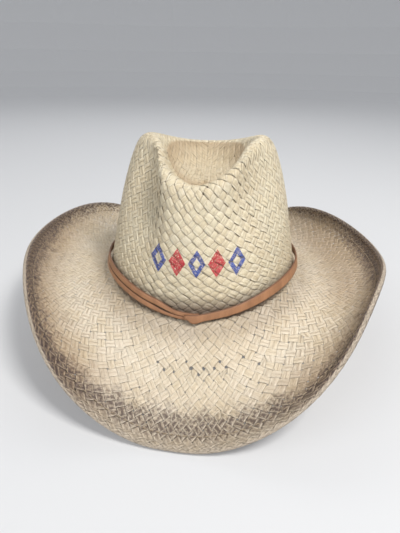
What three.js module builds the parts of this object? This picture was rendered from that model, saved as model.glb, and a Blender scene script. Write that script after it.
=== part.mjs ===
// A straw western hat with a pinched teardrop crown, rolled side brims and a strap hatband.
// Millimetres, +Z up, the front of the hat faces -Y, and the brim's two lowest places rest on z = 0.
import * as THREE from "three";
import { mergeVertices } from "three/addons/utils/BufferGeometryUtils.js";

const { sin, cos, PI, abs, sign, exp, hypot, tanh, min, max, floor, sqrt } = Math;

// ---------------------------------------------------------------- driving dimensions
const CROWN_FOOT_Z = 46.6; // height of the crown's foot, at the wearer's ears, over the table
const STRAW = 1.8; // thickness of the woven sheet
const GAP = 0.3; // clearance between pieces that touch

const BRIM_WIDTH = { mean: 90.7, sides: -6.3, diagonal: -3.7, back: -0.6, right: -0.5 };
const BRIM_START = { mean: -0.54, sides: 0.155 }; // slope where the brim leaves the crown, radians
const BRIM_END = { mean: 0.915, sides: 0.6, corners: -0.34, right: 0.07, thirds: -0.115 };
const BRIM_CURL = 1.4; // over 1, the roll gathers towards the edge
const LOWEST_BRIM_Z = -43.8; // the sheet's level where the brim lies on the table, from the foot
const LEVELLING = 0.4; // how softly the brim flattens onto that level

const DENTS = [
  // the two pinches beside the crown's front panel; angles are from straight ahead
  { side: -1, depth: 23, angle: 0.8, drift: 0.07, inner: 0.3, outer: 0.5 },
  { side: 1, depth: 14, angle: 0.72, drift: 0.07, inner: 0.38, outer: 0.58 },
];

// Rings that carry the crown, from its foot over the rim and down to the middle of the crease:
// height at the sides, front and back, half width, reach to the front and back, share of the dents
const CROWN_RINGS = [
  [0, -6, -6, 88.5, 103.5, 103.5, 0],
  [22, 16, 18, 84, 97, 100, 0.06],
  [45, 38, 42, 80, 89.5, 96, 0.36],
  [68, 57, 64, 75.6, 82, 91, 0.8],
  [89, 73, 82, 70.2, 75, 85, 1],
  [105, 83, 92, 64.5, 71, 80, 0.85],
  [114.5, 88.5, 98.5, 58.5, 67, 76, 0.55],
  [118, 90, 101, 51, 61, 70, 0.34],
  [114.5, 86, 98, 43.5, 54, 63, 0.26],
  [102, 80, 91, 37, 47, 55, 0.18],
  [89, 76.5, 83, 29, 37, 43, 0.08],
  [81, 75, 79, 15, 20, 22, 0],
  [78, 76, 77.5, 0, 0, 0, 0],
];
const RIM_RING = 5.6; // where the crown's plan is least oval
const LOW_POINT_TURN = 0.11; // how far to the wearer's right the front of the rim is lowest
const FRONT_Y_REACH = 103.5;
const SIDE_X_REACH = 88.5;

const HEM = { inner: 1.65, outer: 2.5, drop: 0.6, flap: 10 };
const STITCH_INWARD = 8.5; // from the brim's edge to the thread that holds the hem
const WIRE_R = 0.45;
const FERRULE = { inner: 0.9, outer: 1.15, length: 6 };
const THREAD_R = 0.35;

const SWEATBAND = { thick: 1.2, low: 0.22, high: 1.45, standOff: 0.5 };
const ELASTIC_HALF_ANGLE = 0.42; // the stretch piece reaches this far each side of the back
const BINDING = { thick: 0.8, high: 0.36 };
const LABEL = { halfAngle: 0.17, low: 0.5, high: 1.15, thick: 0.4 };

const STRAP = { thick: 1.5, narrow: 4.4, standOff: 0.5, slack: 3.2 };
const STRAND = { thick: 1.3, height: 4, outward: 0.4 };
// How the hatband lies, by degrees from straight ahead: height over the brim, and the strap's width
const BAND_LIE = [
  [0.6, 5.6],
  [3.4, 6.4],
  [5.8, 7.8],
  [5.2, 8.4],
  [2.6, 8.5],
  [1, 8.5],
  [0.6, 8.5],
];
const BAND_LIE_STEP = 22.5;
const LAP = 0.09; // how far the strap's two ends pass each other at the front, radians

const AROUND = 64; // sections round the hat
const FRONT = -PI / 2;
const BACK = PI / 2;

// ---------------------------------------------------------------- the straw sheet's shape
// Smooth values between the rows of a table, at a row number that need not be whole.
function between(rows, k) {
  const last = rows.length - 1;
  const at = min(max(k, 0), last);
  const i = min(floor(at), last - 1);
  const f = at - i;
  const row = (j) => rows[min(max(j, 0), last)];
  return rows[i].map((_, c) => {
    const [p, q, r, s] = [row(i - 1)[c], row(i)[c], row(i + 1)[c], row(i + 2)[c]];
    const curve = 2 * p - 5 * q + 4 * r - s;
    return 0.5 * (2 * q + (r - p) * f + curve * f * f + (3 * q - p - 3 * r + s) * f ** 3);
  });
}

// How strongly a dent is felt at an angle from straight ahead.
function dentAt(dent, angle, k) {
  const off = dent.side * angle - (dent.angle + dent.drift * (k - 4));
  const width = off < 0 ? dent.inner : dent.outer;
  return dent.depth * exp(-(abs(off / width) ** 2.2));
}

// The sheet's middle surface on the crown: angle round the hat, ring number 0 at the foot.
function crownPoint(angle, k) {
  const [zSide, zFront, zBack, halfWidth, toFront, toBack, share] = between(CROWN_RINGS, k);
  const c = cos(angle);
  const s = sin(angle);
  const front = s < 0;
  const bump = exp(-(((k - RIM_RING) / 2.6) ** 2));
  const power = 2 / (front ? 2 - 0.1 * bump : 2 + 0.3 * bump);
  const x = halfWidth * sign(c) * abs(c) ** power;
  const y = (front ? toFront : toBack) * sign(s) * abs(s) ** power;
  const leftness = min(max(0.5 - x / 70, 0), 1);
  const toLowest = front ? sin(angle + LOW_POINT_TURN * bump * s ** 4) : s;
  const fall = abs(toLowest) ** (front ? 3.4 - leftness : 1.5);
  const z = zSide + (front ? zFront - zSide : zBack - zSide) * fall;
  const r = hypot(x, y);
  const ahead = Math.atan2(x, -y);
  const cut = share * DENTS.reduce((sum, dent) => sum + dentAt(dent, ahead, k), 0);
  const keep = r > 1 ? (r - cut) / r : 1;
  return new THREE.Vector3(x * keep, y * keep, z);
}

// Width of the brim along the sheet.
function brimWidth(angle) {
  const w = BRIM_WIDTH;
  const sideways = w.sides * cos(2 * angle) + w.right * cos(angle);
  return w.mean + sideways + w.diagonal * sin(2 * angle) + w.back * sin(angle);
}

// The sheet's middle surface on the brim: angle round the hat, 0 at the crown to 1 at the edge.
function brimPoint(angle, out) {
  const foot = crownPoint(angle, 0);
  const c = cos(angle);
  const s = sin(angle);
  const c2 = cos(2 * angle);
  const normal = new THREE.Vector2(c / SIDE_X_REACH, s / FRONT_Y_REACH).normalize();
  const width = brimWidth(angle);
  const start = BRIM_START.mean + BRIM_START.sides * c2;
  const e = BRIM_END;
  const end =
    e.mean + e.sides * c2 + e.corners * cos(4 * angle) + e.right * c + e.thirds * cos(3 * angle);
  const steps = 16;
  let across = 0;
  let up = 0;
  for (let i = 0; i < steps; i++) {
    const slope = start + (end - start) * (((i + 0.5) / steps) * out) ** BRIM_CURL;
    across += (cos(slope) * width * out) / steps;
    up += (sin(slope) * width * out) / steps;
  }
  const over = foot.z + up - LOWEST_BRIM_Z;
  const z = LOWEST_BRIM_Z + over / 2 + sqrt((over / 2) ** 2 + LEVELLING ** 2);
  return new THREE.Vector3(foot.x + normal.x * across, foot.y + normal.y * across, z);
}

// A point off a surface by a distance along its normal, which points up or outwards.
function offSurface(surface, angle, k, distance) {
  const step = 1e-3;
  const along = surface(angle + step, k).sub(surface(angle - step, k));
  const kIn = max(k - step, 0);
  const across = surface(angle, k + step).sub(surface(angle, kIn));
  const normal = along.cross(across).normalize();
  const flip = surface === brimPoint ? -1 : 1;
  return surface(angle, k).addScaledVector(normal, distance * flip);
}

const onCrown = (angle, k, off) => offSurface(crownPoint, angle, k, off);
const onBrim = (angle, out, off) => offSurface(brimPoint, angle, out, off);
const lift = (p) => new THREE.Vector3(p.x, p.y, max(p.z + CROWN_FOOT_Z, 0));

// ---------------------------------------------------------------- closed solids from sections
// Angles round the hat, packed closer at the front and back where the brim bends most.
function anglesRound(count) {
  return Array.from({ length: count }, (_, i) => {
    const t = ((i + 0.5) / count) * 2 * PI - PI;
    return t + 0.15 * sin(2 * t);
  });
}

const anglesFrom = (a, b, count) =>
  Array.from({ length: count + 1 }, (_, i) => a + ((b - a) * i) / count);

// The body in millimetres from the table, its faces turned outwards whichever way they were listed.
function solidFromTriangles(points, triangles) {
  const placed = points.map(lift);
  let volume = 0;
  for (let i = 0; i < triangles.length; i += 3) {
    const [a, b, c] = triangles.slice(i, i + 3).map((v) => placed[v]);
    volume += a.dot(b.clone().cross(c));
  }
  if (volume < 0) triangles.reverse();
  const g = new THREE.BufferGeometry();
  const flat = placed.flatMap((p) => p.toArray());
  g.setAttribute("position", new THREE.Float32BufferAttribute(flat, 3));
  g.setIndex(triangles);
  return mergeVertices(g, 1e-4);
}

// Sweeps a closed section round the hat. Each section is a list of points, all the same length.
// A closed sweep joins its last section to its first.
function sweep(sections, closed) {
  const n = sections[0].length;
  const points = sections.flat();
  const triangles = [];
  const rings = sections.length;
  for (let i = 0; i < (closed ? rings : rings - 1); i++)
    for (let j = 0; j < n; j++) {
      const a = i * n + j;
      const b = i * n + ((j + 1) % n);
      const c = ((i + 1) % rings) * n + ((j + 1) % n);
      const d = ((i + 1) % rings) * n + j;
      triangles.push(a, b, c, a, c, d);
    }
  if (!closed) {
    const outline = (s, at) => THREE.ShapeUtils.triangulateShape(at, []).map((t) => t.map((v) => s * n + v));
    for (const [s, turn] of [[0, true], [rings - 1, false]])
      for (const [a, b, c] of outline(s, flatOutline(sections[s])))
        triangles.push(...(turn ? [a, c, b] : [a, b, c]));
  }
  return solidFromTriangles(points, triangles);
}

// A section's points in its own plane, for closing the end of a sweep.
function flatOutline(points) {
  const centre = points.reduce((s, p) => s.add(p), new THREE.Vector3()).divideScalar(points.length);
  const normal = new THREE.Vector3();
  points.forEach((p, i) => {
    const a = p.clone().sub(centre);
    const b = points[(i + 1) % points.length].clone().sub(centre);
    normal.add(a.cross(b));
  });
  normal.normalize();
  const u = points[1].clone().sub(points[0]).projectOnPlane(normal).normalize();
  const v = normal.clone().cross(u);
  return points.map((p) => new THREE.Vector2(p.clone().sub(centre).dot(u), p.clone().sub(centre).dot(v)));
}

// ---------------------------------------------------------------- the pieces
// A dome: outer and inner faces from the foot to the middle of the crease, joined at the foot.
function crownSolid() {
  const angles = anglesRound(AROUND);
  const foot = (STRAW / 2 + GAP + 0.5) / CROWN_RINGS[1][0];
  const ks = [foot, 0.9, 1.45, 2.1, 2.8, 3.5, 4.2, 4.9, 5.5, 6, 6.5, 7, 7.5, 8.1, 8.9, 9.8, 10.9];
  const n = AROUND;
  const points = [];
  for (const half of [STRAW / 2, -STRAW / 2])
    for (const k of ks) for (const a of angles) points.push(onCrown(a, k, half));
  const middle = CROWN_RINGS.length - 1;
  const tips = [0.5, -0.5].map((f) => crownPoint(0, middle).add(new THREE.Vector3(0, 0, f * STRAW)));
  points.push(...tips);
  const [outerTip, innerTip] = [points.length - 2, points.length - 1];
  const triangles = [];
  const quad = (a, b, c, d) => triangles.push(a, b, c, a, c, d);
  const outer = (r, i) => r * n + (i % n);
  const inner = (r, i) => (ks.length + r) * n + (i % n);
  const top = ks.length - 1;
  for (let i = 0; i < n; i++) {
    for (let r = 0; r < top; r++) {
      quad(outer(r, i), outer(r, i + 1), outer(r + 1, i + 1), outer(r + 1, i));
      quad(inner(r, i), inner(r + 1, i), inner(r + 1, i + 1), inner(r, i + 1));
    }
    quad(inner(0, i), inner(0, i + 1), outer(0, i + 1), outer(0, i));
    triangles.push(outer(top, i), outer(top, i + 1), outerTip);
    triangles.push(inner(top, i + 1), inner(top, i), innerTip);
  }
  return solidFromTriangles(points, triangles);
}

// How far out a point is, given its distance in from the brim's edge.
const outFromEdge = (angle, inward) => 1 - inward / brimWidth(angle);

function brimSolid() {
  const sections = anglesRound(AROUND).map((a) => {
    const edge = [HEM.flap + 4, STITCH_INWARD, HEM.outer + GAP].map((d) => outFromEdge(a, d));
    const outs = [0, 0.14, 0.3, 0.46, 0.6, 0.73, ...edge];
    const under = outs.map((v) => onBrim(a, v, -STRAW / 2));
    return [...under, ...outs.map((v) => onBrim(a, v, STRAW / 2)).reverse()];
  });
  return sweep(sections, true);
}

// The frame at the brim's edge: outward along the sheet, and up off it.
function edgeFrame(angle) {
  const at = brimPoint(angle, 1);
  const out = at.clone().sub(brimPoint(angle, 0.985)).normalize();
  const up = onBrim(angle, 1, 1).sub(at);
  return (u, w) => at.clone().addScaledVector(out, u).addScaledVector(up, w - HEM.drop);
}

// A turned edge: a round bead about the wire and a flap that lies under the sheet.
function hemSolid() {
  const arc = (r, from, to, count) =>
    anglesFrom(from, to, count).map((t) => [r * cos(t), r * sin(t)]);
  const flapTop = -(STRAW / 2 + GAP + 0.1) + HEM.drop;
  const bead = [
    ...arc(HEM.outer, -PI / 2, (110 / 180) * PI, 6),
    ...arc(HEM.inner, (105 / 180) * PI, -PI / 3, 5),
    [-1.2, 0.15 - HEM.inner],
  ];
  const flap = [
    [3.5, flapTop],
    [(3.5 + HEM.flap) / 2, flapTop],
    [HEM.flap, flapTop],
    [HEM.flap, -HEM.outer],
    [(3.5 + HEM.flap) / 2, -HEM.outer],
  ];
  const sections = anglesRound(AROUND).map((a) => {
    const frame = edgeFrame(a);
    const under = ([inward, w]) => onBrim(a, outFromEdge(a, inward), w - HEM.drop);
    return [...bead.map(([u, w]) => frame(u, w)), ...flap.map(under)];
  });
  return sweep(sections, true);
}

function roundSection(frame, r, sides, u = 0, w = 0) {
  return Array.from({ length: sides }, (_, i) => {
    const t = (i / sides) * 2 * PI;
    return frame(u + r * cos(t), w + r * sin(t));
  });
}

// The wire runs right round the hem; its ends meet inside the ferrule at the back.
function wireSolid() {
  const half = 0.6 / 190;
  const even = anglesFrom(BACK + half, BACK - half + 2 * PI, 72);
  const angles = even.map((a) => a + 0.15 * sin(2 * a));
  return sweep(angles.map((a) => roundSection(edgeFrame(a), WIRE_R, 6)), false);
}

function ferruleSolid() {
  const { inner, outer, length } = FERRULE;
  const profile = [
    [inner, -length / 2],
    [outer, -length / 2],
    [outer, length / 2],
    [inner, length / 2],
    [inner, -length / 2],
  ].map(([r, y]) => new THREE.Vector2(r, y));
  const tube = new THREE.LatheGeometry(profile, 12);
  tube.deleteAttribute("normal");
  tube.deleteAttribute("uv");
  return mergeVertices(tube, 1e-4);
}

// A thread laid on the brim's upper face, over the inner end of the hem's flap.
function hemStitchSolid() {
  const sections = anglesRound(AROUND).map((a) => roundSection(stitchFrame(a), THREAD_R, 4));
  return sweep(sections, true);
}

function stitchFrame(angle) {
  const out = outFromEdge(angle, STITCH_INWARD);
  const off = STRAW / 2 + GAP + THREAD_R;
  const at = onBrim(angle, out, off);
  const along = onBrim(angle, out + 0.01, off).sub(at).normalize();
  const up = onBrim(angle, out, off + 1).sub(at);
  return (u, w) => at.clone().addScaledVector(along, u).addScaledVector(up, w);
}

// A band against the crown's inside, between two angles and two ring numbers.
function insideBand(angles, ks, near, thick, closed) {
  return sweep(
    angles.map((a) => [
      ...ks.map((k) => onCrown(a, k, -near)),
      ...ks.map((k) => onCrown(a, k, -near - thick)).reverse(),
    ]),
    closed,
  );
}

const LINING_NEAR = STRAW / 2 + SWEATBAND.standOff;
const BAND_RINGS = [SWEATBAND.low, 0.9, SWEATBAND.high];
const jointGap = 0.35 / 100;

function sweatbandSolid() {
  const from = BACK + ELASTIC_HALF_ANGLE + jointGap;
  const to = BACK - ELASTIC_HALF_ANGLE - jointGap + 2 * PI;
  return insideBand(anglesFrom(from, to, 60), BAND_RINGS, LINING_NEAR, SWEATBAND.thick, false);
}

function elasticSolid() {
  const angles = anglesFrom(BACK - ELASTIC_HALF_ANGLE, BACK + ELASTIC_HALF_ANGLE, 10);
  return insideBand(angles, BAND_RINGS, LINING_NEAR, SWEATBAND.thick, false);
}

const BINDING_NEAR = LINING_NEAR + SWEATBAND.thick + GAP + 0.1;

function bindingSolid() {
  const rings = [SWEATBAND.low, BINDING.high];
  return insideBand(anglesRound(AROUND), rings, BINDING_NEAR, BINDING.thick, true);
}

function sweatStitchSolid() {
  const depth = BINDING_NEAR + BINDING.thick + GAP + THREAD_R;
  const k = (SWEATBAND.low + BINDING.high) / 2;
  const sections = anglesRound(AROUND).map((a) => {
    const at = onCrown(a, k, -depth);
    const up = onCrown(a, k + 0.05, -depth).sub(at).normalize();
    const out = onCrown(a, k, -depth + 1).sub(at);
    const frame = (u, w) => at.clone().addScaledVector(out, u).addScaledVector(up, w);
    return roundSection(frame, THREAD_R, 4);
  });
  return sweep(sections, true);
}

function labelSolid() {
  const angles = anglesFrom(BACK - LABEL.halfAngle, BACK + LABEL.halfAngle, 4);
  return insideBand(angles, [LABEL.low, LABEL.high], BINDING_NEAR, LABEL.thick, false);
}

// ---------------------------------------------------------------- the hatband
// 0 at the front to 1 at the back.
const backness = (angle) => 0.5 + 0.5 * sin(angle);
const smooth = (t) => (t <= 0 ? 0 : t >= 1 ? 1 : t * t * (3 - 2 * t));

// Height of the brim's upper face beside the crown, from the foot.
const seatZ = (angle) => crownPoint(angle, 0).z + STRAW / 2;

// A band round the crown: its inner face stands off the straw, and it follows the crown's slope.
function bandSection(angle, low, high, off, thick) {
  const point = (height, depth) => {
    const k = (height + STRAW / 2) / (CROWN_RINGS[1][0] - CROWN_RINGS[0][0]);
    const p = onCrown(angle, k, STRAW / 2 + depth);
    p.z = seatZ(angle) + height;
    return p;
  };
  return [point(low, off), point(low, off + thick), point(high, off + thick), point(high, off)];
}

// How high the hatband lies over the brim, and how wide its strap is, at an angle round the hat.
function bandLie(angle) {
  const ahead = abs(Math.atan2(cos(angle), -sin(angle))) * (180 / PI);
  return between(BAND_LIE, ahead / BAND_LIE_STEP);
}

// The strap starts at the front lap on top, runs round the wearer's left, back and right sides,
// and ends under its own start. On the wearer's right it is folded narrow. Its tip is cut on a slant
// and hangs a little lower.
function strapSolid() {
  const start = FRONT - LAP;
  const angles = anglesFrom(start, FRONT + 2 * PI + LAP * 0.4, 84);
  const sections = angles.map((a) => {
    const gone = (a - start) / (2 * PI);
    const fromTip = (a - start) / LAP;
    const overLap = 1 - smooth(fromTip / 3.2);
    const folded = smooth((gone - 0.55) / 0.14);
    const squeezed = smooth((gone - 0.955) / 0.035);
    const slant = 1 - smooth(fromTip / 0.8);
    const drop = smooth(fromTip / 0.9) * (1 - smooth((fromTip - 0.9) / 1.1));
    const [lie, width] = bandLie(a);
    const low = lie + (STRAND.height + 0.5 - 1.9 * squeezed) * folded + 3.6 * slant - 1.5 * drop;
    const level = width + (STRAP.narrow - width) * folded - 1.4 * squeezed;
    const height = level - 4.4 * slant + 1.5 * drop;
    const off = STRAP.standOff + STRAP.slack * backness(a) + overLap * (STRAP.thick + GAP + 1);
    return bandSection(a, low, low + height, off, STRAP.thick);
  });
  return sweep(sections, false);
}

// The second strand, below the folded strap on the wearer's right side.
function strandSolid() {
  const angles = anglesFrom(FRONT - PI * 0.62, FRONT - 0.5 * LAP, 30);
  const sections = angles.map((a) => {
    const squeezed = smooth((a - FRONT + 4.8 * LAP) / (2.2 * LAP));
    const off = STRAP.standOff + STRAP.slack * backness(a) + STRAND.outward;
    const low = bandLie(a)[0] - 0.1;
    return bandSection(a, low, low + STRAND.height - 1.6 * squeezed, off, STRAND.thick);
  });
  return sweep(sections, false);
}

// ---------------------------------------------------------------- materials and assembly
const finish = (color, roughness, metalness = 0) =>
  new THREE.MeshStandardMaterial({ color, roughness, metalness });
const STRAW_PAINT = finish(0xd9c8a2, 0.7);
const BROWN_EDGE = finish(0x6e4f3c, 0.75);
const LEATHER = finish(0x9a5a33, 0.5);
const STEEL = finish(0x9fa3a6, 0.35, 1);
const LINEN = finish(0xcdbb95, 0.9);
const COTTON = finish(0xe6e0d2, 0.9);

const hat = new THREE.Group();

function add(name, geometry, material) {
  const mesh = new THREE.Mesh(geometry, material);
  mesh.name = name;
  hat.add(mesh);
  return mesh;
}

add("crown", crownSolid(), STRAW_PAINT);
add("brim", brimSolid(), STRAW_PAINT);
add("brim_hem", hemSolid(), BROWN_EDGE);
add("hem_stitching", hemStitchSolid(), LINEN);
add("brim_wire", wireSolid(), STEEL);
add("sweatband", sweatbandSolid(), COTTON);
add("sweatband_elastic", elasticSolid(), COTTON);
add("sweatband_binding", bindingSolid(), LINEN);
add("sweatband_stitching", sweatStitchSolid(), LINEN);
add("care_label", labelSolid(), COTTON);
add("hatband_strap", strapSolid(), LEATHER);
add("hatband_lower_strand", strandSolid(), LEATHER);

const ferrule = add("wire_ferrule", ferruleSolid(), STEEL);
ferrule.rotation.z = PI / 2;
ferrule.position.copy(lift(edgeFrame(BACK)(0, 0)));

// The origin is under the middle of the hat's bounding box, on the table.
const part = new THREE.Group().add(hat);
const middle = new THREE.Box3().setFromObject(hat, true).getCenter(new THREE.Vector3());
hat.position.set(-middle.x, -middle.y, 0);

export default part;
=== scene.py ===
"""A straw western hat: the woven body, its hem and stitches, the hatband, the sweatband, light and camera.

Lengths are in millimetres from the crown's foot until place() puts them in the row frame in metres.
"""

import math

import bpy
import numpy as np
from mathutils import Matrix, Vector


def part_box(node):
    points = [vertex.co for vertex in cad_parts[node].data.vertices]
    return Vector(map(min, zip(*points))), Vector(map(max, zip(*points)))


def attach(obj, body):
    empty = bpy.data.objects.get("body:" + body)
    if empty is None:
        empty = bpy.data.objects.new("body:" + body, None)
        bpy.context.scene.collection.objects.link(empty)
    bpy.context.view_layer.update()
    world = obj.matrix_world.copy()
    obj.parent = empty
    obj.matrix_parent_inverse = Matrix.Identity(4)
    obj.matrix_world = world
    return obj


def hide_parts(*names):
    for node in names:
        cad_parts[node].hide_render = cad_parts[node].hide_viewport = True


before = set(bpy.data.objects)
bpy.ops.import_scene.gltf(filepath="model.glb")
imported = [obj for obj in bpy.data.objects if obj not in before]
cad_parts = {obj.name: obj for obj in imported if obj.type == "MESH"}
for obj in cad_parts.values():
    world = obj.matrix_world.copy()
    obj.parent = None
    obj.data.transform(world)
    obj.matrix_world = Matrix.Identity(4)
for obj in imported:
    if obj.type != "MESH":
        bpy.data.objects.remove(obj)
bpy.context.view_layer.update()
rng = np.random.default_rng(7)
sin, cos, PI = np.sin, np.cos, math.pi

# ---------------------------------------------------------------- dimensions, as in the CAD part
CROWN_FOOT_Z = 46.6
BRIM_START = dict(mean=-0.54, sides=0.155)
BRIM_END = dict(mean=0.915, sides=0.6, corners=-0.34, right=0.07, thirds=-0.115)
BRIM_CURL = 1.4
LOWEST_BRIM_Z = -43.8
LEVELLING = 0.4
DENTS = [  # side, depth, angle from straight ahead, drift, inner and outer width
    (-1, 23, 0.80, 0.07, 0.30, 0.50),
    (1, 14, 0.72, 0.07, 0.38, 0.58),
]
CROWN_RINGS = np.array([  # height at sides, front, back; half width; reach front, back; dent share
    [0, -6, -6, 88.5, 103.5, 103.5, 0],
    [22, 16, 18, 84, 97, 100, 0.06],
    [45, 38, 42, 80, 89.5, 96, 0.36],
    [68, 57, 64, 75.6, 82, 91, 0.8],
    [89, 73, 82, 70.2, 75, 85, 1],
    [105, 83, 92, 64.5, 71, 80, 0.85],
    [114.5, 88.5, 98.5, 58.5, 67, 76, 0.55],
    [118, 90, 101, 51, 61, 70, 0.34],
    [114.5, 86, 98, 43.5, 54, 63, 0.26],
    [102, 80, 91, 37, 47, 55, 0.18],
    [89, 76.5, 83, 29, 37, 43, 0.08],
    [81, 75, 79, 15, 20, 22, 0],
    [78, 76, 77.5, 0, 0, 0, 0],
], dtype=float)
RING_STEP = 22.0  # height between the crown's first two rings
RIM_RING = 5.6  # where the crown's plan is least oval
LOW_POINT_TURN = 0.11  # how far to the wearer's right the front of the rim is lowest
SIDE_X_REACH, FRONT_Y_REACH = 88.5, 103.5
HEM_DROP = 0.6
HEM_FLAP = 10.0
# The hem's middle line: outward from the brim's edge, and up from the wire
HEM_PATH = np.array([
    [-2.8, 0.6], [-1.7, 1.3], [-0.5, 1.95], [0.85, 1.85], [1.9, 0.85], [2.05, -0.4],
    [1.35, -1.5], [0.0, -1.95], [-1.6, -1.85], [-3.6, -1.6], [-6.8, -1.6], [-HEM_FLAP, -1.6],
])
# The sheet laid out flat: how far from the crown's tip its foot, the brim's edge and the hem's end lie
FOOT_AT = len(CROWN_RINGS) - 1.0
EDGE_AT = FOOT_AT + 10.0
FLAP_AT = EDGE_AT + 2.0
HEM_START = 0.3  # the hem's path begins this far inside the brim's edge
HEM_UNIT = 10  # millimetres to one unit of the flat layout on the hem


# ---------------------------------------------------------------- the straw sheet's middle surface
def rows_at(table, k):
    """Smooth values between a table's rows, at row numbers that need not be whole."""
    last = len(table) - 1
    k = np.clip(k, 0, last)
    i = np.clip(np.floor(k).astype(int), 0, last - 1)
    f = (k - i)[..., None]
    p, q, r, s = (table[np.clip(i + d, 0, last)] for d in (-1, 0, 1, 2))
    curve = 2 * p - 5 * q + 4 * r - s
    return 0.5 * (2 * q + (r - p) * f + curve * f**2 + (3 * q - p - 3 * r + s) * f**3)


def smooth(t):
    t = np.clip(t, 0, 1)
    return t * t * (3 - 2 * t)


def unit(vectors):
    return vectors / np.linalg.norm(vectors, axis=-1, keepdims=True)


def signed_power(value, power):
    return np.sign(value) * np.abs(value) ** power


def crown_point(angle, k):
    z_side, z_front, z_back, half, to_front, to_back, share = np.moveaxis(rows_at(CROWN_RINGS, k), -1, 0)
    c, s = cos(angle), sin(angle)
    front = s < 0
    bump = np.exp(-(((k - RIM_RING) / 2.6) ** 2))
    power = 2 / np.where(front, 2 - 0.1 * bump, 2 + 0.3 * bump)
    x = half * signed_power(c, power)
    y = np.where(front, to_front, to_back) * signed_power(s, power)
    wearers_right = np.clip(0.5 - x / 70, 0, 1)
    to_lowest = np.where(front, sin(angle + LOW_POINT_TURN * bump * s**4), s)
    fall = np.abs(to_lowest) ** np.where(front, 3.4 - wearers_right, 1.5)
    z = z_side + (np.where(front, z_front, z_back) - z_side) * fall
    r = np.hypot(x, y)
    ahead = np.arctan2(x, -y)
    cut = 0
    for side, depth, at, drift, inner, outer in DENTS:
        off = side * ahead - (at + drift * (k - 4))
        cut = cut + share * depth * np.exp(-(np.abs(off / np.where(off < 0, inner, outer)) ** 2.2))
    keep = np.where(r > 1, (r - cut) / np.maximum(r, 1), 1)
    return np.stack([x * keep, y * keep, z], -1)


def brim_width(angle):
    sides = -6.3 * cos(2 * angle) - 0.5 * cos(angle)
    return 90.7 + sides - 3.7 * sin(2 * angle) - 0.6 * sin(angle)


def brim_point(angle, out):
    foot = crown_point(angle, np.zeros_like(angle))
    c, s, c2 = cos(angle), sin(angle), cos(2 * angle)
    normal = unit(np.stack([c / SIDE_X_REACH, s / FRONT_Y_REACH], -1))
    width = brim_width(angle)
    start = BRIM_START["mean"] + BRIM_START["sides"] * c2
    end = BRIM_END["mean"] + BRIM_END["sides"] * c2 + BRIM_END["corners"] * cos(4 * angle)
    end = end + BRIM_END["right"] * c + BRIM_END["thirds"] * cos(3 * angle)
    steps = 16
    across, up = 0, 0
    for i in range(steps):
        slope = start + (end - start) * ((i + 0.5) / steps * out) ** BRIM_CURL
        across = across + cos(slope) * width * out / steps
        up = up + sin(slope) * width * out / steps
    over = foot[..., 2] + up - LOWEST_BRIM_Z
    z = LOWEST_BRIM_Z + over / 2 + np.sqrt((over / 2) ** 2 + LEVELLING**2)
    plan = foot[..., :2] + normal * across[..., None]
    return np.concatenate([plan, z[..., None]], -1)


def off_surface(surface, angle, k, distance, step=1e-3):
    """A point off a surface by a distance along its normal, which points up or outwards."""
    along = surface(angle + step, k) - surface(angle - step, k)
    inner = np.maximum(k - step, 0)
    across = surface(angle, k + step) - surface(angle, inner)
    normal = unit(np.cross(along, across))
    flip = -1 if surface is brim_point else 1
    return surface(angle, k) + normal * (distance * flip)[..., None]


def hem_point(angle, outward, above):
    """A point near the brim's edge: outward from it along the sheet, and above the wire."""
    one = np.ones_like(angle)
    inside = 1 + np.minimum(outward, 0) / brim_width(angle)
    base = off_surface(brim_point, angle, inside, above - HEM_DROP)
    along = unit(brim_point(angle, one) - brim_point(angle, one - 0.015))
    return base + along * np.maximum(outward, 0)[..., None]


def sheet_point(plan):
    """The straw sheet laid out flat round the crown's tip, to its place on the hat."""
    rho = np.hypot(plan[..., 0], plan[..., 1])
    angle = np.arctan2(plan[..., 1], plan[..., 0])
    on_crown = rho < FOOT_AT
    on_hem = rho > EDGE_AT - HEM_START
    on_brim = ~on_crown & ~on_hem
    made = np.empty(plan.shape[:-1] + (3,))
    made[on_crown] = crown_point(angle[on_crown], FOOT_AT - rho[on_crown])
    made[on_brim] = brim_point(angle[on_brim], (rho[on_brim] - FOOT_AT) / (EDGE_AT - FOOT_AT))
    along = (rho[on_hem] - EDGE_AT + HEM_START) / (FLAP_AT - EDGE_AT + HEM_START) * (len(HEM_PATH) - 1)
    path = rows_at(HEM_PATH, along)
    made[on_hem] = hem_point(angle[on_hem], path[..., 0], path[..., 1])
    return made


def sheet_normal(plan, step=2e-3):
    x = sheet_point(plan + [step, 0]) - sheet_point(plan - [step, 0])
    y = sheet_point(plan + [0, step]) - sheet_point(plan - [0, step])
    return unit(np.cross(x, y))


def middle_of_crown():
    lo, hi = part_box("crown")
    return np.array([(lo[0] + hi[0]) / 2, (lo[1] + hi[1]) / 2, CROWN_FOOT_Z / 1000])


ORIGIN = middle_of_crown()


def place(points):
    """Millimetres from the crown's foot to metres in the row frame, never below the table."""
    row = np.asarray(points) / 1000 + ORIGIN
    row[..., 2] = np.maximum(row[..., 2], 0.0)
    return row


# ---------------------------------------------------------------- meshes
def add_object(name, data):
    obj = bpy.data.objects.new(name, data)
    bpy.context.scene.collection.objects.link(obj)
    return obj


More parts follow.
